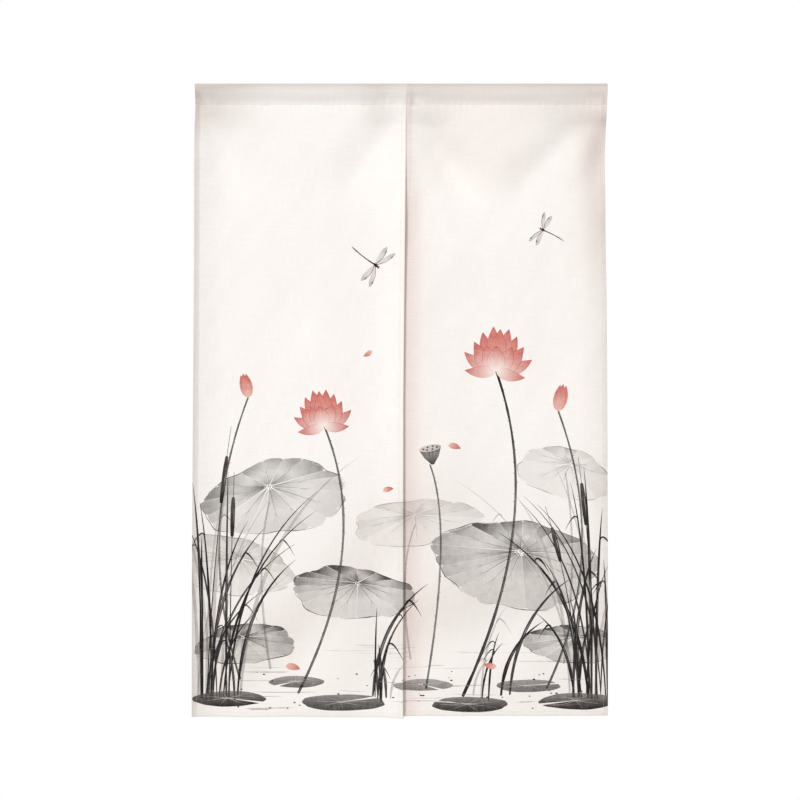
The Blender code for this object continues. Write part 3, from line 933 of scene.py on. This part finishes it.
def sew_panel(panel, material):
    """One cloth of the pair as a closed sheet, with its printed colours and its place on the cloth."""
    places, triangles, covers = cut_cloth(panel)
    x, down = places.T
    hung = cloth_frame(panel, x, down)
    outside, outside_normals = cloth_face(panel, x, down, hung, 1.0)
    inside, inside_normals = cloth_face(panel, x, down, hung, -1.0)
    count = len(places)
    directed = np.concatenate((triangles[:, (0, 1)], triangles[:, (1, 2)], triangles[:, (2, 0)]))
    keys = set(map(tuple, directed.tolist()))
    border = [(a, b) for a, b in directed.tolist() if (b, a) not in keys]
    rim = [(a, b, b + count, a + count) for a, b in border]
    faces = triangles[:, ::-1].tolist() + (triangles + count).tolist() + rim
    mesh = bpy.data.meshes.new("noren_panel_" + panel.side)
    mesh.from_pydata(np.concatenate((outside, inside)).tolist(), [], faces)
    mesh.shade_smooth()

    place = mesh.attributes.new("cloth_place", "FLOAT_VECTOR", "POINT")
    flat = np.stack((x, down, np.zeros(count)), axis=-1)
    place.data.foreach_set("vector", np.concatenate((flat, flat)).ravel())
    # painted shade of doubled, rolled and creased cloth
    layers = mesh.attributes.new("layers", "FLOAT", "POINT")
    tone = painted_shade_share(panel, x, down)
    layers.data.foreach_set("value", np.concatenate((tone, tone)))
    warm = mesh.attributes.new("warm_shade_and_tint", "FLOAT", "POINT")
    warm_share = warm_shade_and_tint(panel, x, down)
    warm.data.foreach_set("value", np.concatenate((warm_share, show_through * warm_share)))

    colours = ink_colours(places, triangles, covers)
    faint = 1.0 - (1.0 - colours) * show_through
    corner_colours = np.ones((len(mesh.loops), 4))
    half = 3 * len(triangles)
    corner_colours[:half, :3] = colours[:, ::-1].reshape(-1, 3)
    corner_colours[half:2 * half, :3] = faint.reshape(-1, 3)
    ink = mesh.attributes.new("ink", "FLOAT_COLOR", "CORNER")
    ink.data.foreach_set("color", corner_colours.ravel())

    low, high = places.min(0), places.max(0)
    share = (places - low) / (high - low)
    front_uv = np.stack((bake_margin + bake_width * share[:, 0],
                         1.0 - bake_margin - bake_height * share[:, 1]), axis=-1)
    back_uv = front_uv + (bake_inside, 0.0)
    middle_uv = front_uv.mean(0)
    outward = np.sign(front_uv - middle_uv) * bake_rim
    rim_uv = [(front_uv[a], front_uv[b], front_uv[b] + outward[b], front_uv[a] + outward[a])
              for a, b in border]
    uv = np.concatenate((front_uv[triangles[:, ::-1]].reshape(-1, 2), back_uv[triangles].reshape(-1, 2),
                         np.array(rim_uv).reshape(-1, 2)))
    mesh.uv_layers.new(name="OFBake").data.foreach_set("uv", uv.ravel())

    mesh.normals_split_custom_set_from_vertices(np.concatenate((outside_normals, inside_normals)).tolist())
    sheet = bpy.data.objects.new("noren_panel_" + panel.side, mesh)
    bpy.context.scene.collection.objects.link(sheet)
    mesh.materials.append(material)
    return sheet


class Nodes:
    """A material's node tree, filled in order."""

    def __init__(self, name):
        self.material = bpy.data.materials.new(name)
        self.material.use_nodes = True
        self.tree = self.material.node_tree
        self.shader = self.tree.nodes["Principled BSDF"]

    def add(self, kind, settings=(), **inputs):
        """Adds a node, sets it up, and fills its inputs with values or with other nodes' outputs."""
        node = self.tree.nodes.new(kind)
        for key, value in dict(settings).items():
            setattr(node, key, value)
        for key, value in inputs.items():
            socket = node.inputs[int(key[1:])] if key[0] == "i" and key[1:].isdigit() else node.inputs[key]
            self.fill(socket, value)
        return node

    def fill(self, socket, value):
        """Links an output to a socket, or sets the socket's own value."""
        if isinstance(value, bpy.types.NodeSocket):
            self.tree.links.new(value, socket)
        else:
            socket.default_value = value

    def math(self, operation, first, second=0.0, third=0.0):
        """A sum on numbers."""
        return self.add("ShaderNodeMath", {"operation": operation}, i0=first, i1=second, i2=third).outputs[0]

    def attribute(self, name, output):
        """A value that the mesh carries."""
        return self.add("ShaderNodeAttribute", {"attribute_name": name}).outputs[output]

    def noise(self, vector, scale, detail=2.0, rough=0.5):
        """Soft noise between 0 and 1."""
        node = self.add("ShaderNodeTexNoise", {}, Vector=vector, Scale=scale, Detail=detail, Roughness=rough)
        return node.outputs["Fac"]

    def stretch(self, vector, scale):
        """The same place, stretched along its axes."""
        return self.add("ShaderNodeMapping", {}, Vector=vector, Scale=scale).outputs[0]

    def blend(self, share, first, second, kind="MIX"):
        """Mixes two colours."""
        settings = {"data_type": "RGBA", "blend_type": kind}
        return self.add("ShaderNodeMix", settings, i0=share, i6=first, i7=second).outputs[2]


cloth_colour = (0.908, 0.873, 0.848, 1.0)
shaded_colour = (0.600, 0.534, 0.507, 1.0)   # painted shade, for doubled, rolled, creased and bunched cloth
warm_tint = (0.975, 0.890, 0.875, 1.0)
yarn_pitch = 0.00075


def woven_cloth():
    """Plain-woven slubby cloth: yarn over yarn, thick and thin places, and the print dyed into it."""
    nodes = Nodes("linen_look_cloth")
    place = nodes.attribute("cloth_place", "Vector")
    split = nodes.add("ShaderNodeSeparateXYZ", {}, Vector=place)
    drift = nodes.noise(nodes.stretch(place, (60.0, 60.0, 1.0)), 1.0)
    wander = nodes.math("MULTIPLY_ADD", drift, 0.0016, -0.0008)
    turn = math.pi / yarn_pitch
    warp = nodes.math("SINE", nodes.math("MULTIPLY", nodes.math("ADD", split.outputs[0], wander), turn))
    weft = nodes.math("SINE", nodes.math("MULTIPLY", nodes.math("ADD", split.outputs[1], wander), turn))
    crossing = nodes.math("MULTIPLY", warp, weft)

    warp_slub = nodes.noise(nodes.stretch(place, (950.0, 26.0, 1.0)), 1.0, 3.0, 0.6)
    weft_slub = nodes.noise(nodes.stretch(place, (24.0, 900.0, 1.0)), 1.0, 3.0, 0.6)
    slub = nodes.math("ADD", warp_slub, weft_slub)
    cloudy = nodes.noise(nodes.stretch(place, (9.0, 7.0, 1.0)), 1.0, 4.0, 0.55)

    shade = nodes.math("MULTIPLY_ADD", slub, 0.16, 0.84)
    shade = nodes.math("MULTIPLY_ADD", nodes.math("SUBTRACT", cloudy, 0.5), 0.05, shade)
    shade = nodes.math("MULTIPLY_ADD", crossing, 0.018, shade)
    # painted shade of doubled, rolled and creased cloth
    ground = nodes.blend(nodes.attribute("layers", "Fac"), cloth_colour, shaded_colour)
    # painted warm shade along the right cloth's slit and outer edge, and a warm patch under its heading
    ground = nodes.blend(nodes.attribute("warm_shade_and_tint", "Fac"), ground, warm_tint, "MULTIPLY")
    shades = nodes.add("ShaderNodeCombineColor", {}, i0=shade, i1=shade, i2=shade).outputs[0]
    ground = nodes.blend(1.0, ground, shades, "MULTIPLY")

    ink = nodes.add("ShaderNodeSeparateColor", {}, Color=nodes.attribute("ink", "Color"))
    grain = nodes.math("MULTIPLY_ADD", slub, 0.9, 0.10)
    blotch = nodes.noise(nodes.stretch(place, (70.0, 70.0, 1.0)), 1.0, 5.0, 0.62)
    depth = nodes.math("MULTIPLY", grain, nodes.math("MULTIPLY_ADD", blotch, 0.9, 0.55))
    dyed = [nodes.math("POWER", ink.outputs[channel], depth) for channel in range(3)]
    dye = nodes.add("ShaderNodeCombineColor", {}, i0=dyed[0], i1=dyed[1], i2=dyed[2]).outputs[0]
    nodes.fill(nodes.shader.inputs["Base Color"], nodes.blend(1.0, ground, dye, "MULTIPLY"))

    relief = nodes.math("MULTIPLY_ADD", slub, 0.9, nodes.math("MULTIPLY", crossing, 0.35))
    bump = nodes.add("ShaderNodeBump", {}, Strength=0.55, Distance=0.00022, Height=relief)
    nodes.fill(nodes.shader.inputs["Normal"], bump.outputs[0])
    nodes.fill(nodes.shader.inputs["Roughness"], nodes.math("MULTIPLY_ADD", slub, 0.08, 0.80))
    nodes.shader.inputs["Specular IOR Level"].default_value = 0.25
    nodes.shader.inputs["Sheen Weight"].default_value = 0.06
    nodes.shader.inputs["Sheen Roughness"].default_value = 0.45
    return nodes.material


cloth_material = woven_cloth()
for panel in panels:
    sheet = sew_panel(panel, cloth_material)
    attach(sheet, "root")
    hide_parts("panel_" + panel.side, "pocket_" + panel.side)

# The thread.
# Off-white sewing thread, run by machine along every hem and along the heading's foot. Each stitch
# is one short strand that lies in the groove it has drawn, with both its ends pulled into the cloth.
stitch_pitch = 0.0030
strand_length = 0.0025
strand_half = 0.00021
strand_rise = 0.00010      # middle of the strand over the groove's bottom
strand_sink = 0.00022      # how far its ends dip under that
strand_drift = 0.00012     # unevenness of the stitches along a line
seam_clear = 0.0030        # how far below a seam the side hems' lines start
line_inset = 0.0015        # a cross line's first and last point, from the side edges
line_points = 110


def thread_lines(panel):
    """Lines of thread on the unrolled cloth, each with the side it shows on: 1 outside, -1 inside."""
    hung_down = np.arange(seam_down + seam_clear, drop - bottom_hem + thread_in, 0.004)
    turned_down = np.arange(seam_down - heading_length + seam_clear, seam_down - 0.0020, 0.0008)
    lines = []
    for down, signs in ((hung_down, (1.0, -1.0)), (turned_down, (1.0,))):
        depth = np.where(down > seam_down, down, 0.5 * seam_down)
        outer, inner = side_edges(panel, depth)
        inward = np.sign(inner - outer) * (side_hem - thread_in)
        for x in (outer + inward, inner - inward):
            lines += [(x, down, sign) for sign in signs]
    ends = (panel.outer[-1][1], panel.inner[-1][1])
    foot_x = np.linspace(min(ends) + line_inset, max(ends) - line_inset, line_points)
    foot_down = hem_drop(panel, foot_x) - bottom_hem + thread_in
    lines += [(foot_x, foot_down, 1.0), (foot_x, foot_down, -1.0)]
    ends = (panel.outer[0][1], panel.inner[0][1])
    seam_x = np.linspace(min(ends) + line_inset, max(ends) - line_inset, line_points)
    lines += [(seam_x, np.full_like(seam_x, seam_down), 1.0),
              (seam_x, np.full_like(seam_x, seam_down - heading_length), 1.0)]
    return lines


def strands(panel, x, down, sign, uneven):
    """Points of the strands along one line: an end, two rings of four points and the other end."""
    run = np.concatenate(((0.0,), np.cumsum(np.hypot(np.diff(x), np.diff(down)))))
    starts = (np.arange(int(run[-1] / stitch_pitch)) + 0.08) * stitch_pitch
    starts = starts + uneven.uniform(-strand_drift, strand_drift, len(starts))
    shares = np.array((0.0, 0.20, 0.80, 1.0)) * strand_length
    at = (starts[:, None] + shares).ravel()
    strand_x, strand_down = np.interp(at, run, x), np.interp(at, run, down)
    sheet_middle, _, _, outside = cloth_frame(panel, strand_x, strand_down)
    out = sign * outside
    height = face_lift(panel, strand_x, strand_down, sign) + strand_rise
    middle = sheet_middle + height[:, None] * out
    out = out.reshape(-1, 4, 3)
    middle = middle.reshape(-1, 4, 3)
    along = middle[:, 3:4] - middle[:, 0:1]
    aside = np.cross(along, out)
    aside /= np.linalg.norm(aside, axis=-1, keepdims=True)
    middle[:, (0, 3)] -= (strand_rise + strand_sink) * out[:, (0, 3)]
    around = (aside[:, (1, 2)], out[:, (1, 2)], -aside[:, (1, 2)], -out[:, (1, 2)])
    rings = np.stack([middle[:, (1, 2)] + strand_half * way for way in around], axis=2).reshape(-1, 8, 3)
    return np.concatenate((middle[:, (0,)], rings, middle[:, (3,)]), axis=1)


# faces of one strand over its ten points: an end, the four sides and the other end
strand_faces = [(0, 1 + k, 1 + (k + 1) % 4) for k in range(4)]
strand_faces += [(1 + k, 5 + k, 5 + (k + 1) % 4, 1 + (k + 1) % 4) for k in range(4)]
strand_faces += [(9, 5 + (k + 1) % 4, 5 + k) for k in range(4)]


def sewing_thread():
    """Matt spun thread, off-white, a little fuzzy and unevenly dyed."""
    nodes = Nodes("sewing_thread")
    place = nodes.add("ShaderNodeTexCoord").outputs["Object"]
    fuzz = nodes.noise(place, 2600.0, 3.0, 0.6)
    patchy = nodes.noise(place, 140.0, 2.0, 0.5)
    share = nodes.math("MULTIPLY_ADD", fuzz, 0.6, nodes.math("MULTIPLY", patchy, 0.4))
    tone = nodes.blend(share, (0.700, 0.655, 0.615, 1.0), (0.880, 0.850, 0.815, 1.0))
    nodes.fill(nodes.shader.inputs["Base Color"], tone)
    bump = nodes.add("ShaderNodeBump", {}, Strength=0.5, Distance=0.00008, Height=fuzz)
    nodes.fill(nodes.shader.inputs["Normal"], bump.outputs[0])
    nodes.shader.inputs["Roughness"].default_value = 0.75
    nodes.shader.inputs["Specular IOR Level"].default_value = 0.30
    return nodes.material


thread_material = sewing_thread()
uneven = np.random.default_rng(5)
for panel in panels:
    points = np.concatenate([strands(panel, x, down, sign, uneven) for x, down, sign in thread_lines(panel)])
    faces = [tuple(10 * strand + corner for corner in face) for strand in range(len(points))
             for face in strand_faces]
    mesh = bpy.data.meshes.new("noren_thread_" + panel.side)
    mesh.from_pydata(points.reshape(-1, 3).tolist(), [], faces)
    mesh.shade_smooth()
    mesh.materials.append(thread_material)
    thread = bpy.data.objects.new("noren_thread_" + panel.side, mesh)
    bpy.context.scene.collection.objects.link(thread)
    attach(thread, "root")

# The floor, light and camera.
# A pale floor well below the hem, as under a doorway, wide soft light from above the viewer with a
# weak one behind the cloth, and a level camera square to it.
metres_per_pixel = 0.002053
middle_column = 400.75     # picture column of the origin
top_row = 83.8             # picture row of the top edge
picture = 800
lens = 85.0
sensor = 36.0
camera_x = (picture / 2 - middle_column) * metres_per_pixel
camera_z = (top_row - picture / 2) * metres_per_pixel
camera_far = picture * metres_per_pixel * lens / sensor

floor_z = -2.0
bpy.ops.mesh.primitive_plane_add(size=1.0, location=(0.0, -0.9, floor_z))
floor = bpy.context.object
floor.name = "floor"
floor.scale = (7.0, 5.2, 1.0)
floor_nodes = Nodes("pale_floor")
floor_nodes.shader.inputs["Base Color"].default_value = (0.86, 0.86, 0.86, 1.0)
floor_nodes.shader.inputs["Roughness"].default_value = 0.8
floor.data.materials.append(floor_nodes.material)

world = bpy.data.worlds.new("white_studio")
bpy.context.scene.world = world
world.use_nodes = True
sky = world.node_tree
sky.nodes.clear()
seen, lit = sky.nodes.new("ShaderNodeBackground"), sky.nodes.new("ShaderNodeBackground")
for background, strength, colour in ((seen, 1.0, (1.0, 1.0, 1.0, 1.0)), (lit, 0.35, (1.0, 0.955, 0.91, 1.0))):
    background.inputs["Strength"].default_value = strength
    background.inputs["Color"].default_value = colour
choice = sky.nodes.new("ShaderNodeMixShader")
ray = sky.nodes.new("ShaderNodeLightPath")
out = sky.nodes.new("ShaderNodeOutputWorld")
sky.links.new(ray.outputs["Is Camera Ray"], choice.inputs[0])
sky.links.new(lit.outputs[0], choice.inputs[1])
sky.links.new(seen.outputs[0], choice.inputs[2])
sky.links.new(choice.outputs[0], out.inputs[0])

cloth_middle = (0.0, 0.0, -0.65)
lamp_size = 1.9


def soft_light(name, place, power, colour):
    """A square studio light that faces the middle of the cloth."""
    light = bpy.data.lights.new(name, "AREA")
    light.size = lamp_size
    light.energy = power
    light.color = colour
    lamp = bpy.data.objects.new(name, light)
    lamp.location = place
    lamp.rotation_euler = (Vector(cloth_middle) - Vector(place)).to_track_quat("-Z", "Y").to_euler()
    bpy.context.scene.collection.objects.link(lamp)


soft_light("key", (-3.45, -10.20, 8.25), 1512.0, (0.985, 1.0, 0.995))
soft_light("behind", (3.50, 9.00, 3.60), 300.0, (1.0, 1.0, 1.0))

camera_data = bpy.data.cameras.new("camera")
camera_data.lens = lens
camera_data.sensor_width = sensor
camera = bpy.data.objects.new("camera", camera_data)
camera.location = (camera_x, -camera_far, camera_z)
camera.rotation_euler = (math.radians(90.0), 0.0, 0.0)
bpy.context.scene.collection.objects.link(camera)
bpy.context.scene.camera = camera
bpy.context.scene.view_settings.view_transform = "Standard"
